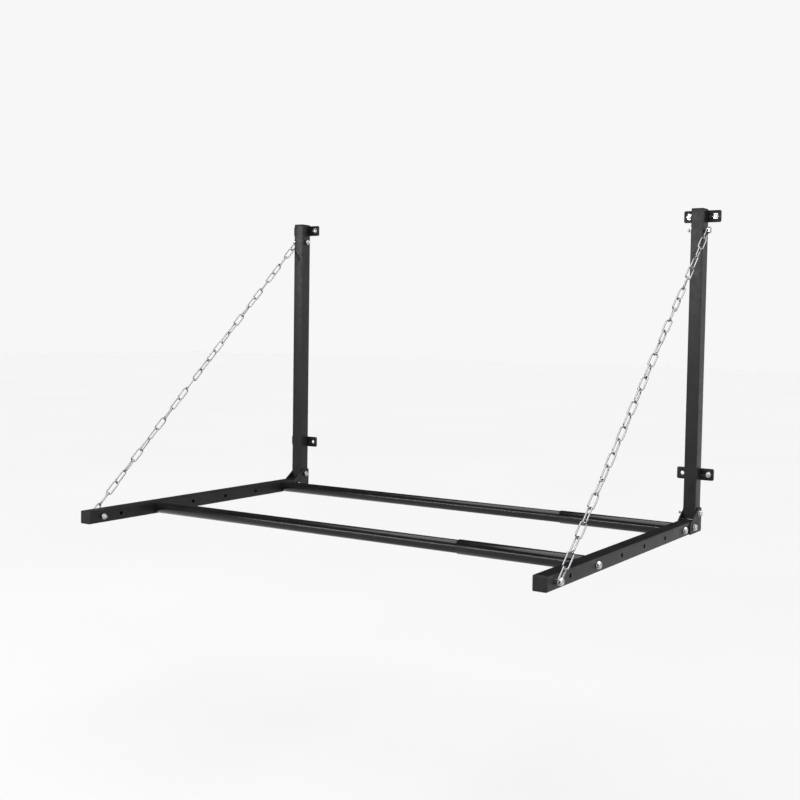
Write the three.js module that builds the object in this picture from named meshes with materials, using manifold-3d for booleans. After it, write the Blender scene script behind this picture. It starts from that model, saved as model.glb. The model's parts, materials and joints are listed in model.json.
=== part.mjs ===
// Wall-mounted folding tyre rack: two uprights, two arms hinged at their feet, two
// telescoping cross bars that the tyres rest on, and a link chain on each side that
// holds the arms level. Millimetres, +Z up. X runs along the bars, the wall is the
// plane Y = 0 and the rack stands in front of it, towards -Y. Z = 0 is the underside
// of the level arms, and X = 0 is midway between the uprights.
import * as THREE from 'three';
import { mergeVertices } from 'three/addons/utils/BufferGeometryUtils.js';
import Module from 'manifold-3d';

const wasm = await Module();
wasm.setup();

// ---- driving dimensions -------------------------------------------------------
const rackWidth = 1210;      // over the outer faces of the uprights and arms
const uprightTop = 755;      // top of the upright's cap
const armReach = 798;        // from the wall to the front end of the arms
const tubeSide = 30;         // square tube of the arms, and the uprights' width
const uprightDepth = 35;     // the upright's tube from back to front
const tubeWall = 1.5;
const tubeCorner = 2.5;      // outside corner radius of both tubes
const gap = 0.3;             // between neighbouring solids
const swingGap = 0.4;        // between an arm and the gussets beside it

const plateThickness = 3;    // wall plates and gussets
const wallPlate = { width: 90, height: 28, corner: 4, holeSpread: 64, holeRadius: 4.5 };
const wallPlateHeights = { top: 738.5, bottom: 134 };   // centre heights
const wallScrew = { radius: 3.2, flats: 10, head: 4.5, washerRadius: 6.8, washer: 1.2 };

const holeRadius = 4.4;      // every bolt hole in the tubes and gussets
const firstHoleFromEnd = 95;
const holePitch = 119;
const holeCount = 6;
const frontBarHole = 2;      // counted from the front end
const rearBarHole = 6;
const chainHoleFromEnd = 38;

const gussetHeight = 56;
const gussetReach = 75;      // along the arm
const gussetNeck = 22;       // width at its top
const gussetShoulder = 18;   // height of its front edge
const gussetCorner = 3;
const gussetBoltHeight = 43;
const uprightFoot = 30.6;    // the tube ends just above the arm
const armTail = 18;          // the arm's length behind its pivot
const foldGap = 0.7;         // between the folded arm and the upright

const barInnerRadius = 14;   // inner tube of each bar, bolted to the left arm
const barInnerBore = 12.5;
const barOuterRadius = 15.5; // outer tube of each bar, bolted to the right arm
const barOuterBore = 14.35;
const barSeam = 292;         // X of the mouth of the outer tube
const barOverlap = 170;      // how far the inner tube reaches into it
const insertLength = 14;     // threaded insert in each bar's end

const bolt = { radius: 4, flats: 13, head: 5.3, nut: 6.5, washerRadius: 8, washer: 1.6 };
const boltStub = 6;          // thread showing beyond a nut
const capPlate = 2.7;        // visible plate of a plastic end cap
const capPlug = 9;           // the part of the cap inside the tube

const chainTopHeight = 705;  // bolt that holds the top of the chain
const chainOffset = 5;       // chain's centre line from the tube's outer face
const chainLinks = 29;
const turnLink = 15;         // the link at the bottom of the loop when folded
const linkWire = 1.75;       // wire radius
const linkInnerWidth = 8.4;
const linkBendSteps = 6;     // sides of each half circle of a link
const linkWireSides = 6;
const linkOverlap = 0.6;     // neighbouring links of one run touch by this much
const linkGap = 0.3;         // between links of different runs, and to the bolts

// ---- places worked out from them ----------------------------------------------
const uprightBack = -(plateThickness + gap);
const uprightFront = uprightBack - uprightDepth;
const uprightMiddle = uprightBack - uprightDepth / 2;
const pivot = { y: uprightFront - foldGap - tubeSide / 2, z: tubeSide / 2 };
const armFront = -armReach;
const holeY = (number) => armFront + firstHoleFromEnd + (number - 1) * holePitch;
const chainHoleY = armFront + chainHoleFromEnd;
const outerFace = rackWidth / 2;
const innerFace = outerFace - tubeSide;
const tubeCentre = outerFace - tubeSide / 2;

// ---- finishes ------------------------------------------------------------------
const finishes = {
  frame: { color: 0x2b2b2d, roughness: 0.42, metalness: 0.0 },
  plate: { color: 0x1c1c1e, roughness: 0.5, metalness: 0.0 },
  zinc: { color: 0xc9ccd0, roughness: 0.28, metalness: 1.0 },
  chain: { color: 0xd2d4d6, roughness: 0.2, metalness: 1.0 },
  plastic: { color: 0x242426, roughness: 0.55, metalness: 0.0 },
};

const rack = new THREE.Group();

function addMesh(name, geometry, finish) {
  const mesh = new THREE.Mesh(geometry, new THREE.MeshStandardMaterial(finishes[finish]));
  mesh.name = name;
  rack.add(mesh);
  return mesh;
}

// ---- solids --------------------------------------------------------------------
function solid(geometry) {
  const bare = geometry.clone();
  bare.deleteAttribute('normal');
  bare.deleteAttribute('uv');
  const merged = mergeVertices(bare, 1e-4);
  return new wasm.Manifold(new wasm.Mesh({
    numProp: 3,
    vertProperties: new Float32Array(merged.attributes.position.array),
    triVerts: new Uint32Array(merged.index.array),
  }));
}

function geometryOf(manifold) {
  const mesh = manifold.getMesh();
  const geometry = new THREE.BufferGeometry();
  geometry.setAttribute('position', new THREE.BufferAttribute(mesh.vertProperties, 3));
  geometry.setIndex(new THREE.BufferAttribute(mesh.triVerts, 1));
  geometry.computeVertexNormals();
  return geometry;
}

const union = (solids) => solids.reduce((whole, piece) => whole.add(piece));

function roundedRectangle(width, height, radius, Kind = THREE.Shape) {
  const x = width / 2;
  const y = height / 2;
  const outline = new Kind();
  outline.moveTo(-x + radius, -y);
  outline.lineTo(x - radius, -y);
  outline.absarc(x - radius, -y + radius, radius, -Math.PI / 2, 0);
  outline.lineTo(x, y - radius);
  outline.absarc(x - radius, y - radius, radius, 0, Math.PI / 2);
  outline.lineTo(-x + radius, y);
  outline.absarc(-x + radius, y - radius, radius, Math.PI / 2, Math.PI);
  outline.lineTo(-x, -y + radius);
  outline.absarc(-x + radius, -y + radius, radius, Math.PI, Math.PI * 1.5);
  return outline;
}

// An outline extruded along +Z from z = 0.
function extrude(outline, length, curveSegments = 3) {
  return new THREE.ExtrudeGeometry(outline, { depth: length, bevelEnabled: false, curveSegments });
}

// A solid rod or a washer along X, from x0 to x1.
function rodX(radius, x0, x1, y, z, sides = 16) {
  const rod = new THREE.CylinderGeometry(radius, radius, Math.abs(x1 - x0), sides);
  rod.rotateZ(Math.PI / 2);
  rod.translate((x0 + x1) / 2, y, z);
  return solid(rod);
}

function hexX(flats, x0, x1, y, z) {
  return rodX(flats / Math.sqrt(3), x0, x1, y, z, 6);
}

function rodY(radius, y0, y1, x, z, sides = 16) {
  const rod = new THREE.CylinderGeometry(radius, radius, Math.abs(y1 - y0), sides);
  rod.translate(x, (y0 + y1) / 2, z);
  return solid(rod);
}

// ---- uprights ------------------------------------------------------------------
function boxTube(depth, length) {
  const outline = roundedRectangle(tubeSide, depth, tubeCorner);
  const walls = 2 * tubeWall;
  const bore = roundedRectangle(tubeSide - walls, depth - walls, tubeCorner - tubeWall, THREE.Path);
  outline.holes.push(bore);
  return extrude(outline, length);
}

function endCap(depth) {
  const plate = solid(extrude(roundedRectangle(tubeSide, depth, tubeCorner), capPlate));
  const inset = 2 * (tubeWall + gap);
  const plug = extrude(roundedRectangle(tubeSide - inset, depth - inset, 1), capPlug + gap);
  plug.translate(0, 0, -capPlug - gap);
  return geometryOf(plate.add(solid(plug)));
}

function addUpright(side, sign) {
  const x = sign * tubeCentre;
  const tubeTop = uprightTop - capPlate - gap;
  const tube = boxTube(uprightDepth, tubeTop - uprightFoot);
  tube.translate(x, uprightMiddle, uprightFoot);
  const through = (z) => rodX(holeRadius, x - tubeSide, x + tubeSide, uprightMiddle, z, 12);
  const drilled = solid(tube).subtract(through(chainTopHeight)).subtract(through(gussetBoltHeight));
  addMesh(`upright_${side}`, geometryOf(drilled), 'frame');

  const cap = addMesh(`upright_cap_${side}`, endCap(uprightDepth), 'plastic');
  cap.position.set(x, uprightMiddle, tubeTop + gap);
}

// ---- wall plates and their screws ----------------------------------------------
function addWallPlate(level, side, sign) {
  const outline = roundedRectangle(wallPlate.width, wallPlate.height, wallPlate.corner);
  for (const end of [-1, 1]) {
    const hole = new THREE.Path();
    hole.absarc(end * wallPlate.holeSpread / 2, 0, wallPlate.holeRadius, 0, Math.PI * 2);
    outline.holes.push(hole);
  }
  const plate = addMesh(`wall_plate_${level}_${side}`, extrude(outline, plateThickness, 6), 'plate');
  plate.rotation.x = Math.PI / 2;
  plate.position.set(sign * tubeCentre, 0, wallPlateHeights[level]);
}

function addWallScrew(level, place, side, sign) {
  const outward = place === 'outer' ? 1 : -1;
  const x = sign * (tubeCentre + outward * wallPlate.holeSpread / 2);
  const z = wallPlateHeights[level];
  const washerBack = -plateThickness - gap;
  const washerFront = washerBack - wallScrew.washer;
  const screw = union([
    rodY(wallScrew.washerRadius, washerFront, washerBack, x, z),
    rodY(wallScrew.flats / Math.sqrt(3), washerFront - wallScrew.head, washerFront, x, z, 6),
    rodY(wallScrew.radius, washerBack - gap, -gap, x, z),
  ]);
  addMesh(`wall_screw_${level}_${place}_${side}`, geometryOf(screw), 'zinc');
}

// ---- hinge brackets -------------------------------------------------------------
// Corners of the gusset in the (y, z) plane, each rounded off by an arc.
function gussetOutline() {
  const back = uprightBack;
  const corners = [
    [back, 0],
    [back, gussetHeight],
    [back - gussetNeck, gussetHeight],
    [back - gussetReach, gussetShoulder],
    [back - gussetReach, 0],
  ].map(([y, z]) => new THREE.Vector2(y, z));
  const outline = new THREE.Shape();
  corners.forEach((corner, index) => {
    const before = corners[(index + corners.length - 1) % corners.length];
    const after = corners[(index + 1) % corners.length];
    const start = before.clone().sub(corner).setLength(gussetCorner).add(corner);
    const end = after.clone().sub(corner).setLength(gussetCorner).add(corner);
    if (index === 0) outline.moveTo(start.x, start.y);
    else outline.lineTo(start.x, start.y);
    outline.quadraticCurveTo(corner.x, corner.y, end.x, end.y);
  });
  for (const [y, z] of [[uprightMiddle, gussetBoltHeight], [pivot.y, pivot.z]]) {
    const hole = new THREE.Path();
    hole.absarc(y, z, holeRadius, 0, Math.PI * 2);
    outline.holes.push(hole);
  }
  return outline;
}

function addGusset(place, side, sign) {
  const plate = extrude(gussetOutline(), plateThickness, 6);
  // the outline's x becomes Y and its y becomes Z, so the extrusion runs along X
  plate.applyMatrix4(new THREE.Matrix4().makeBasis(
    new THREE.Vector3(0, 1, 0), new THREE.Vector3(0, 0, 1), new THREE.Vector3(1, 0, 0)));
  const near = place === 'outer' ? outerFace + swingGap : innerFace - swingGap - plateThickness;
  plate.translate(sign > 0 ? near : -near - plateThickness, 0, 0);
  addMesh(`gusset_${place}_${side}`, plate, 'plate');
}

// A hex bolt whose head sits outside the face at x = seat and whose shank runs
// inwards to x = end. With a collar the head stands off the face to hold the chain.
function addBolt(name, sign, seat, end, y, z, collar = 0) {
  const washerStart = seat + gap;
  const pieces = [];
  let headStart = washerStart + bolt.washer;
  if (collar > 0) {
    const collarRadius = bolt.radius + 1.5;
    pieces.push(rodX(collarRadius, sign * washerStart, sign * (washerStart + collar), y, z));
    headStart = seat + 2 * chainOffset - (washerStart + collar - seat) + gap;
  } else {
    pieces.push(rodX(bolt.washerRadius, sign * washerStart, sign * headStart, y, z));
  }
  pieces.push(hexX(bolt.flats, sign * headStart, sign * (headStart + bolt.head), y, z));
  pieces.push(rodX(bolt.radius, sign * (headStart + 0.5), sign * end, y, z));
  addMesh(name, geometryOf(union(pieces)), 'zinc');
}

function addNut(name, sign, seat, y, z) {
  const start = seat - gap;
  const nut = hexX(bolt.flats, sign * start, sign * (start - bolt.nut), y, z);
  const bore = rodX(holeRadius, sign * (start + 1), sign * (start - bolt.nut - 1), y, z, 12);
  addMesh(name, geometryOf(nut.subtract(bore)), 'zinc');
}

function addBoltAndNut(name, side, sign, outerSeat, innerSeat, y, z, collar = 0) {
  const end = innerSeat - gap - bolt.nut - boltStub;
  addBolt(`${name}_bolt_${side}`, sign, outerSeat, end, y, z, collar);
  addNut(`${name}_nut_${side}`, sign, innerSeat, y, z);
}

function addHinge(side, sign) {
  addGusset('outer', side, sign);
  addGusset('inner', side, sign);
  const outerSeat = outerFace + swingGap + plateThickness;
  const innerSeat = innerFace - swingGap - plateThickness;
  addBoltAndNut('gusset', side, sign, outerSeat, innerSeat, uprightMiddle, gussetBoltHeight);
  addBoltAndNut('pivot', side, sign, outerSeat, innerSeat, pivot.y, pivot.z);
}

// ---- arms ------------------------------------------------------------------------
function addArm(side, sign) {
  const x = sign * tubeCentre;
  const rear = pivot.y + armTail;
  const tubeFront = armFront + capPlate + gap;
  const tubeRear = rear - capPlate - gap;
  const tube = boxTube(tubeSide, tubeRear - tubeFront);
  tube.rotateX(-Math.PI / 2);
  tube.translate(x, tubeFront, tubeSide / 2);
  const drillings = [chainHoleY, pivot.y];
  for (let number = 1; number <= holeCount; number += 1) drillings.push(holeY(number));
  const drilled = drillings.reduce((arm, y) => arm.subtract(
    rodX(holeRadius, x - tubeSide, x + tubeSide, y, tubeSide / 2, 12)), solid(tube));
  addMesh(`arm_${side}`, geometryOf(drilled), 'frame');

  const frontCap = addMesh(`arm_front_cap_${side}`, endCap(tubeSide), 'plastic');
  frontCap.rotation.x = Math.PI / 2;
  frontCap.position.set(x, tubeFront - gap, tubeSide / 2);
  const rearCap = addMesh(`arm_rear_cap_${side}`, endCap(tubeSide), 'plastic');
  rearCap.rotation.x = -Math.PI / 2;
  rearCap.position.set(x, tubeRear + gap, tubeSide / 2);
}

// ---- telescoping bars -------------------------------------------------------------
function roundTubeX(radius, bore, x0, x1, y) {
  const tube = rodX(radius, x0, x1, y, tubeSide / 2, 32);
  return tube.subtract(rodX(bore, x0 - 1, x1 + 1, y, tubeSide / 2, 32));
}

function addBar(name, number) {
  const y = holeY(number);
  const end = innerFace - gap;
  const outer = roundTubeX(barOuterRadius, barOuterBore, barSeam, end, y);
  addMesh(`${name}_bar_outer`, geometryOf(outer), 'frame');
  const inner = roundTubeX(barInnerRadius, barInnerBore, -end, barSeam + barOverlap, y);
  addMesh(`${name}_bar_inner`, geometryOf(inner), 'frame');
  for (const [side, sign, bore] of [['right', 1, barOuterBore], ['left', -1, barInnerBore]]) {
    const insert = rodX(bore - gap, sign * end, sign * (end - insertLength), y, tubeSide / 2, 24);
    const thread = rodX(holeRadius, sign * (end + 1), sign * (end - insertLength - 1), y, tubeSide / 2, 12);
    addMesh(`${name}_bar_insert_${side}`, geometryOf(insert.subtract(thread)), 'plate');
    addBolt(`${name}_bar_bolt_${side}`, sign, outerFace, end - insertLength + 1, y, tubeSide / 2);
  }
}

// ---- chains -------------------------------------------------------------------------
// One link lies in the local XZ plane, centred on the origin, its length along Z: a
// round wire swept along two half circles joined by straight legs.
function linkSolid(innerLength) {
  const bend = linkInnerWidth / 2 + linkWire;
  const legLength = innerLength - linkInnerWidth;
  const positions = [];
  for (const end of [1, -1]) {
    for (let step = 0; step <= linkBendSteps; step += 1) {
      const angle = Math.PI * (step / linkBendSteps);
      const outX = end * Math.cos(angle);
      const outZ = end * Math.sin(angle);
      for (let corner = 0; corner < linkWireSides; corner += 1) {
        const around = 2 * Math.PI * (corner / linkWireSides);
        const reach = bend + linkWire * Math.cos(around);
        positions.push(outX * reach, linkWire * Math.sin(around), end * legLength / 2 + outZ * reach);
      }
    }
  }
  const rings = 2 * (linkBendSteps + 1);
  const faces = [];
  for (let ring = 0; ring < rings; ring += 1) {
    const here = ring * linkWireSides;
    const next = ((ring + 1) % rings) * linkWireSides;
    for (let corner = 0; corner < linkWireSides; corner += 1) {
      const beside = (corner + 1) % linkWireSides;
      faces.push(here + corner, next + beside, next + corner);
      faces.push(here + corner, here + beside, next + beside);
    }
  }
  const link = new THREE.BufferGeometry();
  link.setAttribute('position', new THREE.Float32BufferAttribute(positions, 3));
  link.setIndex(faces);
  return solid(link);
}

// How far each link is turned about the chain, in degrees, counted from the top. Both
// chains hang twisted, the right one down to its turn link only. The end links lie flat
// against the bolts and the three at the bottom of the folded loop stand square to each
// other.
function linkTwist(number, side) {
  if (number === 1 || number === chainLinks) return 0;
  if (number === turnLink) return 90;
  if (Math.abs(number - turnLink) === 1) return 0;
  if (side === 'left') return 13 - 65 * (number - 1);
  if (number < turnLink) return 54 + 65.5 * (number - 1);
  const start = number > 22 ? -50 : -10;
  return number % 2 === 0 ? start : start + 110;
}

function addChain(side, sign) {
  const x = sign * (outerFace + chainOffset);
  const top = new THREE.Vector3(x, uprightMiddle, chainTopHeight);
  const bottom = new THREE.Vector3(x, chainHoleY, tubeSide / 2);
  const along = bottom.clone().sub(top);
  const endPlay = bolt.radius + linkGap + linkOverlap / 2;
  const pitch = (along.length() + 2 * endPlay) / chainLinks;
  along.normalize();
  const across = new THREE.Vector3(sign, 0, 0);
  const inPlane = new THREE.Vector3().crossVectors(along, across);

  const placedLink = (number) => {
    const isTurn = number === turnLink;
    const innerLength = pitch - linkOverlap + (isTurn ? 2 * (linkOverlap + linkGap) : 0);
    const turn = THREE.MathUtils.degToRad(linkTwist(number, side));
    const widthways = inPlane.clone().multiplyScalar(Math.cos(turn))
      .addScaledVector(across, Math.sin(turn));
    const flatways = new THREE.Vector3().crossVectors(along, widthways);
    const centre = top.clone().addScaledVector(along, (number - 0.5) * pitch - endPlay);
    const place = new THREE.Matrix4().makeBasis(widthways, flatways, along).setPosition(centre);
    return linkSolid(innerLength).transform(place.elements);
  };
  const run = (first, last) => {
    const links = [];
    for (let number = first; number <= last; number += 1) links.push(placedLink(number));
    return geometryOf(union(links));
  };
  addMesh(`chain_upper_${side}`, run(1, turnLink - 1), 'chain');
  addMesh(`chain_turn_link_${side}`, run(turnLink, turnLink), 'chain');
  addMesh(`chain_lower_${side}`, run(turnLink + 1, chainLinks), 'chain');
}

function addChainBolts(side, sign) {
  const collar = chainOffset - linkWire - 2 * gap;
  addBoltAndNut('chain_top', side, sign, outerFace, innerFace, uprightMiddle, chainTopHeight, collar);
  addBoltAndNut('chain_bottom', side, sign, outerFace, innerFace, chainHoleY, tubeSide / 2, collar);
}

// ---- the whole rack -------------------------------------------------------------------
for (const [side, sign] of [['right', 1], ['left', -1]]) {
  addUpright(side, sign);
  addWallPlate('top', side, sign);
  addWallPlate('bottom', side, sign);
  addWallScrew('top', 'outer', side, sign);
  addWallScrew('top', 'inner', side, sign);
  addWallScrew('bottom', 'outer', side, sign);
  addHinge(side, sign);
  addArm(side, sign);
  addChain(side, sign);
  addChainBolts(side, sign);
}
addBar('front', frontBarHole);
addBar('rear', rearBarHole);

export default rack;
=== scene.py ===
"""Looks for the wall-mounted folding tyre rack: powder-coated tube, plastic caps, zinc-plated bolts and
welded chain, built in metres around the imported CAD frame."""

import json
import math

import bmesh
import bpy
from mathutils import Matrix, Vector


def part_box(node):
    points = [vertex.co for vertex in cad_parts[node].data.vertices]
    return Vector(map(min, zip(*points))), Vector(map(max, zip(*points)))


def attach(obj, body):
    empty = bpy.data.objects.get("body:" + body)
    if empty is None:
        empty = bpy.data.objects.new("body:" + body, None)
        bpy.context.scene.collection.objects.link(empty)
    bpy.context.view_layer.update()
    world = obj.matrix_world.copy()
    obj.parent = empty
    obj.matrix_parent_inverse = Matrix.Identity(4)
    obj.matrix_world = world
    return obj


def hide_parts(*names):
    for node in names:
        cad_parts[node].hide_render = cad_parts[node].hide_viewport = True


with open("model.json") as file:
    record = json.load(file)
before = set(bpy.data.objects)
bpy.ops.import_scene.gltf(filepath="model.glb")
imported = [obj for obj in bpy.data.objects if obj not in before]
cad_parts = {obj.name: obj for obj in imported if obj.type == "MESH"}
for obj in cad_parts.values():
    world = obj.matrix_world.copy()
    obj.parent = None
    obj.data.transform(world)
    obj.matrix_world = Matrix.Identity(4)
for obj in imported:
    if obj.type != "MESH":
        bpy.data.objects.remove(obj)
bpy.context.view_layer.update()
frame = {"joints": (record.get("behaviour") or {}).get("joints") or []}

joints = {joint["name"]: joint for joint in frame["joints"]}
MM = 0.001
SIDES = (("right", 1), ("left", -1))
Y, Z = 1, 2

# Sizes in metres, each within 0.2 mm of the CAD's. Those that differ are the bars' wall, the threaded
# bores, the bolt holes in tubes and gussets, the gussets' corners and the collars' length.
TUBE_WALL = 1.5 * MM
TUBE_CORNER = 2.5 * MM
CAP_PLATE = 2.7 * MM
BAR_WALL = 1.3 * MM
BOLT_RADIUS = 4.0 * MM
BOLT_FLATS = 13.0 * MM
BOLT_HEAD = 5.3 * MM
THREAD_BORE = 4.35 * MM
THREAD_REACH = 7.0 * MM
WASHER_RADIUS = 8.0 * MM
WASHER_THICKNESS = 1.6 * MM
SCREW_RADIUS = 3.2 * MM
SCREW_FLATS = 10.0 * MM
SCREW_HEAD = 4.5 * MM
SCREW_WASHER = 6.8 * MM
HEAD_STANDOFF = 7.05 * MM
COLLAR_LENGTH = 2.6 * MM
COLLAR_RADIUS = 5.5 * MM
HOLE_RADIUS = 4.5 * MM
PLATE_CORNER = 4.0 * MM
GUSSET_NECK = 22.0 * MM
GUSSET_SHOULDER = 18.0 * MM
GUSSET_CORNER = 3.2 * MM
LINK_WIRE = 1.75 * MM
LINK_WIDTH = 8.4 * MM
LINK_OVERLAP = 0.6 * MM
LINK_GAP = 0.3 * MM
LINK_COUNT = 29
TURN_LINK = 15


# ---- camera -------------------------------------------------------------------------------------

CAMERA_PLACE = (1.5101, -2.6011, 0.4638)
CAMERA_YAW, CAMERA_PITCH, CAMERA_ROLL = 31.221, 3.002, 1.023
CAMERA_LENS = 51.58
CAMERA_SHIFT = (-0.075, -0.0125)


def make_camera():
    data = bpy.data.cameras.new("camera")
    camera = bpy.data.objects.new("camera", data)
    bpy.context.scene.collection.objects.link(camera)
    yaw, pitch, roll = (math.radians(angle) for angle in (CAMERA_YAW, CAMERA_PITCH, CAMERA_ROLL))
    ahead = Vector((-math.sin(yaw) * math.cos(pitch), math.cos(yaw) * math.cos(pitch), -math.sin(pitch)))
    level_right = Vector((math.cos(yaw), math.sin(yaw), 0.0))
    level_up = level_right.cross(ahead)
    right = level_right * math.cos(roll) + level_up * math.sin(roll)
    up = level_up * math.cos(roll) - level_right * math.sin(roll)
    turn = Matrix((right, up, -ahead)).transposed()
    camera.matrix_world = Matrix.Translation(CAMERA_PLACE) @ turn.to_4x4()
    data.sensor_width = 36.0
    data.lens = CAMERA_LENS
    data.shift_x, data.shift_y = CAMERA_SHIFT
    data.clip_start = 0.05
    data.clip_end = 100.0
    bpy.context.scene.camera = camera


make_camera()


# ---- materials ----------------------------------------------------------------------------------

class Nodes:
    """A short way to add and join the nodes of one material."""

    def __init__(self, name):
        self.material = bpy.data.materials.new(name)
        self.material.use_nodes = True
        self.tree = self.material.node_tree
        self.shader = self.tree.nodes["Principled BSDF"]
        self.where = self.tree.nodes.new("ShaderNodeTexCoord").outputs["Object"]

    def add(self, kind, **values):
        node = self.tree.nodes.new(kind)
        for key, value in values.items():
            setattr(node, key, value)
        return node

    def link(self, source, target):
        self.tree.links.new(source, target)

    def set(self, **values):
        for key, value in values.items():
            self.shader.inputs[key.replace("_", " ")].default_value = value

    def noise(self, scale, detail=3.0, roughness=0.5):
        node = self.add("ShaderNodeTexNoise")
        self.link(self.where, node.inputs["Vector"])
        node.inputs["Scale"].default_value = scale
        node.inputs["Detail"].default_value = detail
        node.inputs["Roughness"].default_value = roughness
        return node.outputs["Fac"]

    def spots(self, scale, randomness=1.0):
        node = self.add("ShaderNodeTexVoronoi")
        self.link(self.where, node.inputs["Vector"])
        node.inputs["Scale"].default_value = scale
        node.inputs["Randomness"].default_value = randomness
        return node.outputs["Distance"]

    def ramp(self, source, low, high, start=0.3, end=0.7):
        """Colours from low to high as source goes from start to end."""
        node = self.add("ShaderNodeValToRGB")
        node.color_ramp.elements[0].position = start
        node.color_ramp.elements[1].position = end
        node.color_ramp.elements[0].color = colour4(low)
        node.color_ramp.elements[1].color = colour4(high)
        self.link(source, node.inputs["Fac"])
        return node.outputs["Color"]

    def range(self, source, low, high, start=0.3, end=0.7):
        node = self.add("ShaderNodeMapRange")
        self.link(source, node.inputs["Value"])
        node.inputs["From Min"].default_value = start
        node.inputs["From Max"].default_value = end
        node.inputs["To Min"].default_value = low
        node.inputs["To Max"].default_value = high
        return node.outputs["Result"]

    def bump(self, *layers):
        """Each layer is a height, its strength and its depth in metres."""
        normal = None
        for height, strength, depth in layers:
            node = self.add("ShaderNodeBump")
            node.inputs["Strength"].default_value = strength
            node.inputs["Distance"].default_value = depth
            self.link(height, node.inputs["Height"])
            if normal:
                self.link(normal, node.inputs["Normal"])
            normal = node.outputs["Normal"]
        self.link(normal, self.shader.inputs["Normal"])


def colour4(value):
    return (value, value, value, 1.0) if isinstance(value, float) else (*value, 1.0)


def powder_coat(name, dark, light, rough_low, rough_high, shine=0.17):
    """Satin powder coat: fine orange peel over broader waves, a little dust and duller patches."""
    nodes = Nodes(name)
    dust = nodes.noise(23.0, 4.0)
    nodes.link(nodes.ramp(dust, dark, light), nodes.shader.inputs["Base Color"])
    nodes.link(nodes.range(nodes.noise(55.0, 5.0), rough_low, rough_high), nodes.shader.inputs["Roughness"])
    nodes.bump((nodes.noise(140.0, 2.0), 0.25, 0.0004), (nodes.noise(1400.0, 2.0), 0.35, 0.00006))
    nodes.set(Specular_IOR_Level=shine)
    nodes.set(Coat_Weight=0.05)
    nodes.set(Coat_Roughness=0.22)
    return nodes.material


def moulded_plastic(name):
    """Black plastic with a fine spark-eroded grain."""
    nodes = Nodes(name)
    tone = nodes.ramp(nodes.noise(90.0, 4.0), (0.0060, 0.0060, 0.0065), (0.0120, 0.0120, 0.0125))
    nodes.link(tone, nodes.shader.inputs["Base Color"])
    nodes.link(nodes.range(nodes.noise(300.0, 3.0), 0.42, 0.6), nodes.shader.inputs["Roughness"])
    nodes.bump((nodes.noise(2600.0, 3.0), 0.4, 0.00008))
    nodes.set(Specular_IOR_Level=0.2)
    return nodes.material


def zinc_plate(name, dark, light, rough_low, rough_high):
    """Bright zinc plate: cloudy passivated tone, with small pits and drawing marks."""
    nodes = Nodes(name)
    cloud = nodes.noise(160.0, 5.0, 0.6)
    nodes.link(nodes.ramp(cloud, dark, light, 0.35, 0.65), nodes.shader.inputs["Base Color"])
    nodes.link(nodes.range(nodes.noise(420.0, 4.0), rough_low, rough_high), nodes.shader.inputs["Roughness"])
    nodes.bump((nodes.noise(900.0, 3.0), 0.12, 0.00005), (nodes.spots(1500.0), 0.08, 0.00003))
    nodes.set(Metallic=1.0)
    return nodes.material


def turned_steel(name):
    """Plain steel with turning marks round the X axis."""
    nodes = Nodes(name)
    rings = nodes.add("ShaderNodeTexWave", wave_type="BANDS", bands_direction="X")
    nodes.link(nodes.where, rings.inputs["Vector"])
    rings.inputs["Scale"].default_value = 420.0
    rings.inputs["Distortion"].default_value = 1.5
    rings.inputs["Detail"].default_value = 2.0
    nodes.link(nodes.ramp(rings.outputs["Fac"], (0.28, 0.28, 0.29), (0.42, 0.42, 0.43)),
               nodes.shader.inputs["Base Color"])
    nodes.link(nodes.range(nodes.noise(200.0, 3.0), 0.3, 0.45), nodes.shader.inputs["Roughness"])
    nodes.bump((rings.outputs["Fac"], 0.3, 0.00005))
    nodes.set(Metallic=1.0)
    return nodes.material


FRAME_COAT = powder_coat("frame_coat", (0.0045, 0.0045, 0.0050), (0.0085, 0.0085, 0.0091), 0.30, 0.42)
BAR_COAT = powder_coat("bar_coat", (0.0045, 0.0045, 0.0050), (0.0080, 0.0080, 0.0086), 0.19, 0.26, 0.24)
PLATE_COAT = powder_coat("plate_coat", (0.0042, 0.0042, 0.0046), (0.0080, 0.0080, 0.0085), 0.36, 0.48)
CAP_PLASTIC = moulded_plastic("cap_plastic")
BOLT_ZINC = zinc_plate("bolt_zinc", (0.36, 0.37, 0.385), (0.50, 0.505, 0.51), 0.14, 0.26)
CHAIN_ZINC = zinc_plate("chain_zinc", (0.19, 0.195, 0.205), (0.27, 0.275, 0.28), 0.08, 0.16)
INSERT_STEEL = turned_steel("insert_steel")


# ---- mesh helpers -------------------------------------------------------------------------------

def add_object(name, mesh_data, material):
    piece = bpy.data.objects.new(name, mesh_data)
    bpy.context.scene.collection.objects.link(piece)
    mesh_data.materials.append(material)
    return piece


def mesh_from(name, points, faces):
    data = bpy.data.meshes.new(name)
    data.from_pydata([tuple(point) for point in points], [], faces)
    data.validate()
    return data


def face_outwards(data):
    shape = bmesh.new()
    shape.from_mesh(data)
    bmesh.ops.recalc_face_normals(shape, faces=shape.faces)
    shape.to_mesh(data)
    shape.free()


def smooth_with_sharp_edges(data, sharp_degrees=32.0):
    """Smooth shading that breaks at edges sharper than the angle."""
    shape = bmesh.new()
    shape.from_mesh(data)
    for face in shape.faces:
        face.smooth = True
    for edge in shape.edges:
        edge.smooth = len(edge.link_faces) == 2 and edge.calc_face_angle(0.0) < math.radians(sharp_degrees)
    shape.to_mesh(data)
    shape.free()


def apply_modifiers(piece):
    """The piece's mesh as its modifiers leave it, with none left on it."""
    scene_now = bpy.context.evaluated_depsgraph_get()
    data = bpy.data.meshes.new_from_object(piece.evaluated_get(scene_now))
    piece.modifiers.clear()
    piece.data = data


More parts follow.
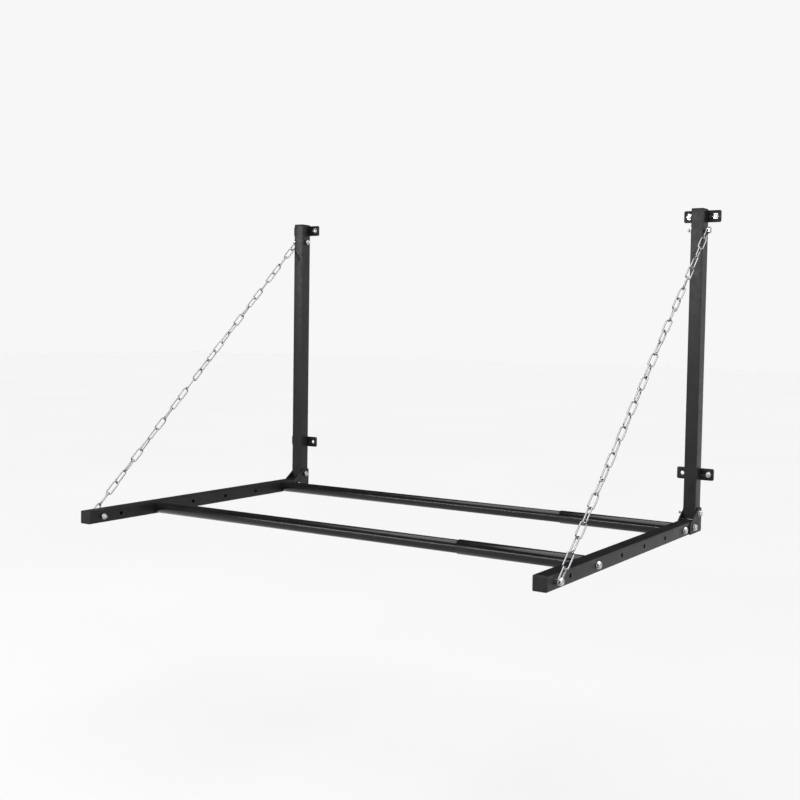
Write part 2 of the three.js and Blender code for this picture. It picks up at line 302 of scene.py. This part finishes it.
def round_edges(piece, width, segments=2, angle=35.0):
    bevel = piece.modifiers.new("edges", "BEVEL")
    bevel.width = width
    bevel.segments = segments
    bevel.limit_method = "ANGLE"
    bevel.angle_limit = math.radians(angle)
    bevel.harden_normals = False
    apply_modifiers(piece)


def cut_holes(piece, cutters):
    for cutter in cutters:
        cut = piece.modifiers.new("cut", "BOOLEAN")
        cut.operation = "DIFFERENCE"
        cut.solver = "EXACT"
        cut.object = cutter
    apply_modifiers(piece)
    for cutter in cutters:
        bpy.data.objects.remove(cutter)


def finish_piece(piece, body, slot, *nodes):
    smooth_with_sharp_edges(piece.data)
    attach(piece, body)
    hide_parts(*nodes)
    return piece


def spin_points(profile, steps, hexagonal=()):
    """Rings about the X axis from a profile of (x, radius) pairs. A ring whose index is in hexagonal
    is a hexagon that measures its radius to the flats."""
    rings = []
    for index, (x, radius) in enumerate(profile):
        ring = []
        for step in range(steps):
            angle = 2 * math.pi * step / steps
            reach = radius
            if index in hexagonal:
                sixth = math.pi / 3
                reach = radius / math.cos((angle % sixth) - sixth / 2)
            ring.append(Vector((x, reach * math.sin(angle), reach * math.cos(angle))))
        rings.append(ring)
    return rings


def rings_to_mesh(name, rings, joined=False):
    """Quads between neighbouring rings. Joined closes the last ring onto the first; otherwise both ends
    are capped."""
    steps = len(rings[0])
    points = [point for ring in rings for point in ring]
    faces = []
    count = len(rings)
    for ring in range(count if joined else count - 1):
        after = (ring + 1) % count
        for step in range(steps):
            beside = (step + 1) % steps
            faces.append((ring * steps + step, ring * steps + beside,
                          after * steps + beside, after * steps + step))
    if not joined:
        faces.append(tuple(reversed(range(steps))))
        faces.append(tuple(range((count - 1) * steps, count * steps)))
    data = mesh_from(name, points, faces)
    face_outwards(data)
    return data


def rounded_rectangle(width, height, corner, steps=6):
    """Points round a rectangle with rounded corners, centred on the origin, as (u, v) pairs."""
    points = []
    for quarter, (u, v) in enumerate(((1, 1), (-1, 1), (-1, -1), (1, -1))):
        for step in range(steps + 1):
            angle = (quarter + step / steps) * math.pi / 2
            points.append(((width / 2 - corner) * u + corner * math.cos(angle),
                           (height / 2 - corner) * v + corner * math.sin(angle)))
    return points


def centre_of(node):
    low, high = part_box(node)
    return (low + high) / 2


# ---- box tube -----------------------------------------------------------------------------------

def box_tube(name, node, along):
    """A hollow box-section tube on the node's box. Along is the axis it runs on: 1 for Y and 2 for Z."""
    low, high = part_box(node)
    middle = (low + high) / 2
    width = high.x - low.x
    depth = high[3 - along] - low[3 - along]
    outside = rounded_rectangle(width, depth, TUBE_CORNER)
    inside = rounded_rectangle(width - 2 * TUBE_WALL, depth - 2 * TUBE_WALL, TUBE_CORNER - TUBE_WALL)
    chamfer = 0.3 * MM

    def ring(outline, place, shrink=0.0):
        scale = 1.0 - 2 * shrink / width
        if along == Z:
            return [Vector((middle.x + u * scale, middle.y + v * scale, place)) for u, v in outline]
        return [Vector((middle.x + u * scale, place, middle.z + v * scale)) for u, v in outline]

    start, end = low[along], high[along]
    rings = [ring(inside, start), ring(outside, start, chamfer), ring(outside, start + chamfer),
             ring(outside, end - chamfer), ring(outside, end, chamfer), ring(inside, end)]
    return rings_to_mesh(name, rings, joined=True)


def add_drill(data, place):
    """A cutter for cut_holes, moved to its place."""
    data.transform(Matrix.Translation(place))
    drill = bpy.data.objects.new("drill", data)
    bpy.context.scene.collection.objects.link(drill)
    return drill


def drill_x(x, y, z, radius, length, steps=32):
    rings = spin_points([(-length / 2, radius), (length / 2, radius)], steps)
    return add_drill(rings_to_mesh("drill", rings), (x, y, z))


def drill_with_rolled_rim(x, y, z, tube_side):
    """A hole right through the tube, with a slightly flared rim at each face."""
    rim = 0.35 * MM
    half = tube_side / 2
    profile = [(-half - MM, HOLE_RADIUS + rim + MM), (-half, HOLE_RADIUS + rim), (-half + rim, HOLE_RADIUS),
               (half - rim, HOLE_RADIUS), (half, HOLE_RADIUS + rim), (half + MM, HOLE_RADIUS + rim + MM)]
    return add_drill(rings_to_mesh("drill", spin_points(profile, 32)), (x, y, z))


def make_upright(side):
    node = f"upright_{side}"
    tube = add_object(f"{node}_tube", box_tube(node, node, Z), FRAME_COAT)
    middle = centre_of(node)
    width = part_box(node)[1].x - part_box(node)[0].x
    heights = [centre_of(f"chain_top_nut_{side}").z, centre_of(f"gusset_nut_{side}").z]
    cut_holes(tube, [drill_with_rolled_rim(middle.x, middle.y, height, width) for height in heights])
    finish_piece(tube, f"upright_{side}", "tube_frame", node)


def make_arm(side):
    node = f"arm_{side}"
    tube = add_object(f"{node}_tube", box_tube(node, node, Y), FRAME_COAT)
    middle = centre_of(node)
    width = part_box(node)[1].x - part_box(node)[0].x
    front, rear = centre_of("front_bar_inner").y, centre_of("rear_bar_inner").y
    pitch = (rear - front) / 4
    places = [front + number * pitch for number in range(-1, 5)]
    places.append(centre_of(f"chain_bottom_nut_{side}").y)
    places.append(centre_of(f"pivot_nut_{side}").y)
    cut_holes(tube, [drill_with_rolled_rim(middle.x, place, middle.z, width) for place in places])
    finish_piece(tube, f"arm_{side}", "tube_frame", node)


def make_cap(node, body, along, outward):
    """A push-in tube cap: a domed plate with rounded edges, and its plug with a rib round it."""
    low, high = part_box(node)
    middle = (low + high) / 2
    width = high.x - low.x
    across = 3 - along
    slab = high[across] - low[across]
    outer = high[along] if outward > 0 else low[along]
    reach = high[along] - low[along]
    round_over = 1.2 * MM
    plug_inset = 2 * TUBE_WALL + 0.6 * MM
    layers = [(0.0, width * 0.7), (0.0, width * 0.3)]
    for step in range(5):
        angle = math.pi / 2 * step / 4
        layers.append((round_over * (1 - math.cos(angle)), 2 * round_over * (1 - math.sin(angle))))
    layers += [(CAP_PLATE, 0.0), (CAP_PLATE, plug_inset), (reach * 0.55, plug_inset),
               (reach * 0.6, plug_inset - 0.4 * MM), (reach * 0.65, plug_inset), (reach - MM, plug_inset),
               (reach, plug_inset + 2 * MM)]
    rings = []
    for place, inset in layers:
        outline = rounded_rectangle(width - inset, slab - inset, min(TUBE_CORNER, (width - inset) * 0.12))
        at = outer - outward * place
        if along == Z:
            rings.append([Vector((middle.x + u, middle.y + v, at)) for u, v in outline])
        else:
            rings.append([Vector((middle.x + u, at, middle.z + v)) for u, v in outline])
    cap = add_object(f"{node}_moulding", rings_to_mesh(node, rings), CAP_PLASTIC)
    finish_piece(cap, body, "cap_plastic", node)


# ---- flat plates --------------------------------------------------------------------------------

def plate_from_outline(name, outline, thickness, place):
    """An outline of (u, v) pairs made solid. Place maps (u, v, depth) to a point."""
    rings = [[place(u, v, depth) for u, v in outline] for depth in (0.0, thickness)]
    return add_object(name, rings_to_mesh(name, rings), PLATE_COAT)


def make_wall_plate(level, side):
    node = f"wall_plate_{level}_{side}"
    low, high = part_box(node)
    middle = (low + high) / 2
    width, height = high.x - low.x, high.z - low.z
    outline = rounded_rectangle(width, height, PLATE_CORNER)
    plate = plate_from_outline(f"{node}_strip", outline, high.y - low.y,
                               lambda u, v, depth: Vector((middle.x + u, low.y + depth, middle.z + v)))
    spread = centre_of(f"wall_screw_{level}_outer_{side}").x - middle.x
    cutters = []
    for end in (-1, 1):
        data = rings_to_mesh("drill", spin_points([(-5 * MM, HOLE_RADIUS), (5 * MM, HOLE_RADIUS)], 32))
        data.transform(Matrix.Rotation(math.pi / 2, 4, "Z"))
        cutters.append(add_drill(data, (middle.x + end * spread, middle.y, middle.z)))
    cut_holes(plate, cutters)
    round_edges(plate, 0.4 * MM)
    finish_piece(plate, f"upright_{side}", "plate_frame", node)


def rounded_corners(corners, radius, steps=6):
    """The corners of a closed outline, each turned into an arc of the radius."""
    outline = []
    for index, corner in enumerate(corners):
        before = (corners[index - 1] - corner).normalized()
        after = (corners[(index + 1) % len(corners)] - corner).normalized()
        half_angle = before.angle(after) / 2
        reach = radius / math.tan(half_angle)
        inward = (before + after).normalized()
        centre = corner + inward * (radius / math.sin(half_angle))
        start = corner + before * reach - centre
        end = corner + after * reach - centre
        sweep = start.angle_signed(end)
        for step in range(steps + 1):
            turn = -sweep * step / steps
            outline.append(centre + Vector((start.x * math.cos(turn) - start.y * math.sin(turn),
                                            start.x * math.sin(turn) + start.y * math.cos(turn))))
    return outline


def make_gusset(place, side):
    node = f"gusset_{place}_{side}"
    low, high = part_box(node)
    corners = [Vector((high.y, low.z)), Vector((high.y, high.z)), Vector((high.y - GUSSET_NECK, high.z)),
               Vector((low.y, low.z + GUSSET_SHOULDER)), Vector((low.y, low.z))]
    outline = rounded_corners(corners, GUSSET_CORNER)
    plate = plate_from_outline(f"{node}_plate", outline, high.x - low.x,
                               lambda u, v, depth: Vector((low.x + depth, u, v)))
    cutters = []
    for bolt in ("gusset", "pivot"):
        at = centre_of(f"{bolt}_nut_{side}")
        cutters.append(drill_x((low.x + high.x) / 2, at.y, at.z, HOLE_RADIUS, 12 * MM))
    cut_holes(plate, cutters)
    round_edges(plate, 0.4 * MM)
    finish_piece(plate, f"upright_{side}", "plate_frame", node)


# ---- bolts, nuts and screws ---------------------------------------------------------------------

def thread_profile(start, end, radius, pitch=1.25 * MM):
    """(x, radius) pairs of a threaded shank from start to end, with a chamfered tip at end."""
    way = 1 if end > start else -1
    depth = 0.55 * MM
    profile = []
    turns = max(1, int(abs(end - start) / pitch) - 1)
    for turn in range(turns):
        at = start + way * turn * pitch
        profile.append((at, radius - depth))
        profile.append((at + way * pitch * 0.45, radius))
        profile.append((at + way * pitch * 0.6, radius))
    profile.append((start + way * turns * pitch, radius - depth))
    profile.append((end - way * 0.6 * MM, radius - depth * 0.6))
    profile.append((end, radius - 1.0 * MM))
    return profile


def hex_head_profile(start, height, way, flats=BOLT_FLATS):
    """A forged hex head seated at start: its chamfered top and a shallow dish."""
    flat = flats / 2
    top = start + way * height
    return [(start, flat), (top - way * 1.0 * MM, flat), (top - way * 0.15 * MM, flat * 0.955),
            (top, flat * 0.9), (top, flat * 0.62), (top - way * 0.35 * MM, flat * 0.52)]


def make_bolt(node, body, way, thread_from, collar=False):
    """A bolt lying along X on the CAD bolt's box, head towards way. Its thread shows beyond thread_from.
    With a collar it has no washer, and its shank widens in a cone from the collar to the head, where the
    CAD bolt's is straight."""
    low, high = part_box(node)
    middle = (low + high) / 2
    head_top = high.x if way > 0 else low.x
    tip = low.x if way > 0 else high.x
    seat = head_top - way * BOLT_HEAD
    if collar:
        back = seat - way * HEAD_STANDOFF
        front = back + way * COLLAR_LENGTH
        body_rings = [(back, COLLAR_RADIUS), (front, COLLAR_RADIUS), (front, BOLT_RADIUS)]
    else:
        edge = 0.35 * MM
        back = seat - way * WASHER_THICKNESS
        body_rings = [(back, WASHER_RADIUS - edge), (back + way * edge, WASHER_RADIUS),
                      (seat - way * edge, WASHER_RADIUS), (seat, WASHER_RADIUS - edge),
                      (seat, BOLT_FLATS / 2)]
    shank = list(reversed(thread_profile(thread_from, tip, BOLT_RADIUS)))
    profile = shank + [(thread_from, BOLT_RADIUS), (back, BOLT_RADIUS)] + body_rings
    start = len(profile)
    profile += hex_head_profile(seat, BOLT_HEAD, way)
    rings = spin_points(profile, 48, hexagonal=(start, start + 1))
    shape = rings_to_mesh(node, rings)
    shape.transform(Matrix.Translation((0, middle.y, middle.z)))
    bolt = add_object(f"{node}_turned", shape, BOLT_ZINC)
    finish_piece(bolt, body, "bolt_zinc", node)


def make_nut(node, body, spin=0.0):
    """A hex nut with chamfered corners on both faces and a countersunk bore."""
    low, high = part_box(node)
    middle = (low + high) / 2
    flat = BOLT_FLATS / 2
    rise, sink = 0.7 * MM, 0.6 * MM
    profile = [(low.x + sink, THREAD_BORE), (low.x, THREAD_BORE + sink), (low.x, flat * 0.93),
               (low.x + rise, flat), (high.x - rise, flat), (high.x, flat * 0.93),
               (high.x, THREAD_BORE + sink), (high.x - sink, THREAD_BORE)]
    rings = spin_points(profile, 48, hexagonal=(3, 4))
    shape = rings_to_mesh(node, rings, joined=True)
    shape.transform(Matrix.Rotation(spin, 4, "X"))
    shape.transform(Matrix.Translation((0, middle.y, middle.z)))
    nut = add_object(f"{node}_forged", shape, BOLT_ZINC)
    finish_piece(nut, body, "bolt_zinc", node)


def make_wall_screw(level, place, side):
    node = f"wall_screw_{level}_{place}_{side}"
    low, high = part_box(node)
    middle = (low + high) / 2
    front, tip = low.y, high.y
    seat = front + SCREW_HEAD
    washer, edge = SCREW_WASHER, 0.3 * MM
    back = seat + 1.2 * MM
    profile = [(tip, SCREW_RADIUS - 0.5 * MM), (back, SCREW_RADIUS), (back, washer - edge),
               (back - edge, washer), (seat + edge, washer), (seat, washer - edge), (seat, SCREW_FLATS / 2)]
    start = len(profile)
    profile += hex_head_profile(seat, SCREW_HEAD, -1, SCREW_FLATS)
    rings = spin_points(profile, 48, hexagonal=(start, start + 1))
    shape = rings_to_mesh(node, rings)
    shape.transform(Matrix.Rotation(math.pi / 2, 4, "Z"))
    shape.transform(Matrix.Translation((middle.x, 0, middle.z)))
    screw = add_object(f"{node}_turned", shape, BOLT_ZINC)
    finish_piece(screw, f"upright_{side}", "bolt_zinc", node)


# ---- round bars ---------------------------------------------------------------------------------

def round_bar(node, body, wall):
    """A round tube along X with slightly rounded ends."""
    low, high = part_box(node)
    middle = (low + high) / 2
    radius = (high.z - low.z) / 2
    bore = radius - wall
    edge = 0.35 * MM
    bulge = edge * 0.3
    profile = [(low.x, bore), (low.x, radius - edge), (low.x + bulge, radius - bulge), (low.x + edge, radius),
               (high.x - edge, radius), (high.x - bulge, radius - bulge), (high.x, radius - edge),
               (high.x, bore)]
    shape = rings_to_mesh(node, spin_points(profile, 96), joined=True)
    shape.transform(Matrix.Translation((0, middle.y, middle.z)))
    tube = add_object(f"{node}_tube", shape, BAR_COAT)
    finish_piece(tube, body, "tube_frame", node)


def make_insert(node, body):
    low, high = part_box(node)
    middle = (low + high) / 2
    radius = (high.z - low.z) / 2
    bore, edge = THREAD_BORE, 0.5 * MM
    profile = [(low.x, bore + edge), (low.x, radius - edge), (low.x + edge, radius),
               (high.x - edge, radius), (high.x, radius - edge), (high.x, bore + edge),
               (high.x - edge, bore), (low.x + edge, bore)]
    shape = rings_to_mesh(node, spin_points(profile, 64), joined=True)
    shape.transform(Matrix.Translation((0, middle.y, middle.z)))
    insert = add_object(f"{node}_turned", shape, INSERT_STEEL)
    finish_piece(insert, body, "insert_steel", node)


# ---- chains -------------------------------------------------------------------------------------

def link_twist(number, side):
    """Degrees that a link is turned about the chain, as in part.mjs."""
    if number in (1, LINK_COUNT):
        return 0
    if number == TURN_LINK:
        return 90
    if abs(number - TURN_LINK) == 1:
        return 0
    if side == "left":
        return 13 - 65 * (number - 1)
    if number < TURN_LINK:
        return 54 + 65.5 * (number - 1)
    start = -50 if number > 22 else -10
    return start if number % 2 == 0 else start + 110


def link_rings(inner_length, bend_steps=14, leg_steps=4, wire_steps=14):
    """Rings of a welded oval link in its own XZ plane, with the weld's swelling half way down one leg."""
    bend = LINK_WIDTH / 2 + LINK_WIRE
    leg = inner_length - LINK_WIDTH
    stations = []
    for end in (1, -1):
        for step in range(bend_steps + 1):
            angle = math.pi * step / bend_steps
            out = Vector((end * math.cos(angle), 0, end * math.sin(angle)))
            stations.append((out * bend + Vector((0, 0, end * leg / 2)), out, 1.0))
        weld_leg = end == 1
        for step in range(1, leg_steps * 2):
            share = step / (leg_steps * 2)
            swell = 1.0
            if weld_leg:
                swell += 0.10 * math.exp(-((share - 0.5) * leg / (1.1 * MM)) ** 2)
            centre = Vector((-end * bend, 0, end * leg * (0.5 - share)))
            stations.append((centre, Vector((-end, 0, 0)), swell))
    rings = []
    for centre, out, swell in stations:
        ring = []
        for corner in range(wire_steps):
            angle = 2 * math.pi * corner / wire_steps
            turned = out * math.cos(angle) + Vector((0, 1, 0)) * math.sin(angle)
            ring.append(centre + turned * (LINK_WIRE * swell))
        rings.append(ring)
    return rings


def chain_places(side):
    """The top bolt's centre, the chain's direction and pitch, and how far it starts before that centre."""
    top = Vector(joints[f"chain_upper_swing_{side}"]["pos_m"])
    bottom = Vector(joints[f"chain_lower_swing_{side}"]["pos_m"])
    end_play = BOLT_RADIUS + LINK_GAP + LINK_OVERLAP / 2
    pitch = ((bottom - top).length + 2 * end_play) / LINK_COUNT
    return top, (bottom - top).normalized(), pitch, end_play


def make_chain_run(side, sign, part, first, last):
    top, along, pitch, end_play = chain_places(side)
    across = Vector((sign, 0, 0))
    in_plane = along.cross(across)
    points, faces = [], []
    for number in range(first, last + 1):
        stretch = 2 * (LINK_OVERLAP + LINK_GAP) if number == TURN_LINK else 0.0
        turn = math.radians(link_twist(number, side))
        widthways = in_plane * math.cos(turn) + across * math.sin(turn)
        flatways = along.cross(widthways)
        centre = top + along * ((number - 0.5) * pitch - end_play)
        place = Matrix((widthways, flatways, along)).transposed().to_4x4()
        place.translation = centre
        rings = link_rings(pitch - LINK_OVERLAP + stretch)
        steps = len(rings[0])
        base = len(points)
        points += [place @ point for ring in rings for point in ring]
        for ring in range(len(rings)):
            after = (ring + 1) % len(rings)
            for step in range(steps):
                beside = (step + 1) % steps
                faces.append((base + ring * steps + step, base + ring * steps + beside,
                              base + after * steps + beside, base + after * steps + step))
    node = f"chain_{part}_{side}"
    data = mesh_from(node, points, faces)
    face_outwards(data)
    run = add_object(f"{node}_links", data, CHAIN_ZINC)
    finish_piece(run, node, "chain_zinc", node)


# ---- the whole rack -----------------------------------------------------------------------------

for side, sign in SIDES:
    upright, arm = f"upright_{side}", f"arm_{side}"
    make_upright(side)
    make_arm(side)
    make_cap(f"upright_cap_{side}", upright, Z, 1)
    make_cap(f"arm_front_cap_{side}", arm, Y, -1)
    make_cap(f"arm_rear_cap_{side}", arm, Y, 1)
    for level in ("top", "bottom"):
        make_wall_plate(level, side)
    for level, place in (("top", "outer"), ("top", "inner"), ("bottom", "outer")):
        make_wall_screw(level, place, side)
    for place in ("outer", "inner"):
        make_gusset(place, side)
    for name, body in (("gusset", upright), ("pivot", upright), ("chain_top", upright),
                       ("chain_bottom", arm)):
        nut_low, nut_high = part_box(f"{name}_nut_{side}")
        inner_edge = nut_low.x if sign > 0 else nut_high.x
        make_nut(f"{name}_nut_{side}", body, spin=math.radians(11))
        thread_from = inner_edge + sign * THREAD_REACH
        make_bolt(f"{name}_bolt_{side}", body, sign, thread_from, collar=name.startswith("chain"))
    tube = "outer" if side == "right" else "inner"
    for bar in ("front", "rear"):
        round_bar(f"{bar}_bar_{tube}", arm, BAR_WALL)
        make_insert(f"{bar}_bar_insert_{side}", arm)
        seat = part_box(f"{bar}_bar_insert_{side}")
        make_bolt(f"{bar}_bar_bolt_{side}", arm, sign, seat[1].x if sign > 0 else seat[0].x)
    make_chain_run(side, sign, "upper", 1, TURN_LINK - 1)
    make_chain_run(side, sign, "turn_link", TURN_LINK, TURN_LINK)
    make_chain_run(side, sign, "lower", TURN_LINK + 1, LINK_COUNT)


# ---- floor and light ----------------------------------------------------------------------------

BACKDROP = 0.93
FLOOR_GLOW = 0.45
FLOOR_HEIGHT = -0.55
CEILING = 4.5
# Brightness from the far left of the studio, at 0, to its far right, at 1.
LEFT_TO_RIGHT = ((0.0, 0.35), (0.28, 0.10), (0.55, 0.10), (0.725, 3.2), (0.9, 4.1))


def make_floor():
    material = Nodes("floor_paint")
    tone = material.ramp(material.noise(0.7, 2.0), (0.275, 0.275, 0.275), (0.285, 0.285, 0.285))
    material.link(tone, material.shader.inputs["Base Color"])
    material.set(Roughness=0.95)
    material.set(Specular_IOR_Level=0.0)
    material.set(Emission_Color=(1.0, 1.0, 1.0, 1.0))
    material.set(Emission_Strength=FLOOR_GLOW)
    reach = 30.0
    height = FLOOR_HEIGHT
    data = mesh_from("floor", [(-reach, -reach, height), (reach, -reach, height), (reach, reach, height),
                               (-reach, reach, height)], [(0, 1, 2, 3)])
    add_object("floor", data, material.material)


def make_light(name, position, target, size, power):
    data = bpy.data.lights.new(name, "AREA")
    data.shape = "RECTANGLE"
    data.size, data.size_y = size
    data.energy = power
    light = bpy.data.objects.new(name, data)
    bpy.context.scene.collection.objects.link(light)
    light.location = position
    light.rotation_mode = "QUATERNION"
    light.rotation_quaternion = (Vector(target) - Vector(position)).to_track_quat("-Z", "Y")
    light.visible_camera = False


def make_world():
    """A studio with a bright ceiling and a bright right side, dim behind the rack. The camera sees a plain
    pale backdrop instead."""
    world = bpy.data.worlds.new("studio")
    bpy.context.scene.world = world
    world.use_nodes = True
    tree = world.node_tree
    background = tree.nodes["Background"]
    direction = tree.nodes.new("ShaderNodeTexCoord")
    parts = tree.nodes.new("ShaderNodeSeparateXYZ")
    tree.links.new(direction.outputs["Generated"], parts.inputs["Vector"])
    sideways = world_ramp(tree, parts.outputs["X"], -1.0, LEFT_TO_RIGHT)
    behind = world_range(tree, parts.outputs["Y"], (0.3, 0.8), (1.0, 0.4))
    low = world_range(tree, parts.outputs["Z"], (0.15, 0.45), (1.0, 0.08))
    ceiling = world_range(tree, parts.outputs["Z"], (0.79, 0.86), (0.0, CEILING))
    walls = world_math(tree, "MULTIPLY", world_math(tree, "MULTIPLY", sideways, behind), low)
    room = world_math(tree, "ADD", walls, ceiling)
    seen = tree.nodes.new("ShaderNodeLightPath")
    choice = tree.nodes.new("ShaderNodeMix")
    choice.data_type = "FLOAT"
    tree.links.new(seen.outputs["Is Camera Ray"], choice.inputs["Factor"])
    tree.links.new(room, choice.inputs["A"])
    choice.inputs["B"].default_value = BACKDROP
    tree.links.new(choice.outputs["Result"], background.inputs["Strength"])
    background.inputs["Color"].default_value = (1.0, 1.0, 1.0, 1.0)


def world_math(tree, operation, first, second):
    node = tree.nodes.new("ShaderNodeMath")
    node.operation = operation
    tree.links.new(first, node.inputs[0])
    tree.links.new(second, node.inputs[1])
    return node.outputs[0]


def world_range(tree, value, span, result):
    node = tree.nodes.new("ShaderNodeMapRange")
    tree.links.new(value, node.inputs["Value"])
    node.inputs["From Min"].default_value, node.inputs["From Max"].default_value = span
    node.inputs["To Min"].default_value, node.inputs["To Max"].default_value = result
    return node.outputs["Result"]


def world_ramp(tree, value, lowest, stops):
    """A brightness that follows value, which runs from lowest to 1, through (place, brightness) stops."""
    placed = tree.nodes.new("ShaderNodeMapRange")
    tree.links.new(value, placed.inputs["Value"])
    placed.inputs["From Min"].default_value = lowest
    placed.inputs["From Max"].default_value = 1.0
    ramp = tree.nodes.new("ShaderNodeValToRGB")
    tree.links.new(placed.outputs["Result"], ramp.inputs["Fac"])
    elements = ramp.color_ramp.elements
    while len(elements) < len(stops):
        elements.new(0.5)
    for element, (place, brightness) in zip(elements, stops):
        element.position = place
        element.color = colour4(float(brightness))
    return ramp.outputs["Color"]


make_floor()
make_world()
make_light("strip", (-1.6, -5.2, 1.1), (-0.3, -0.5, 0.0), (6.5, 0.16), 190.0)
bpy.context.scene.view_settings.view_transform = "Standard"
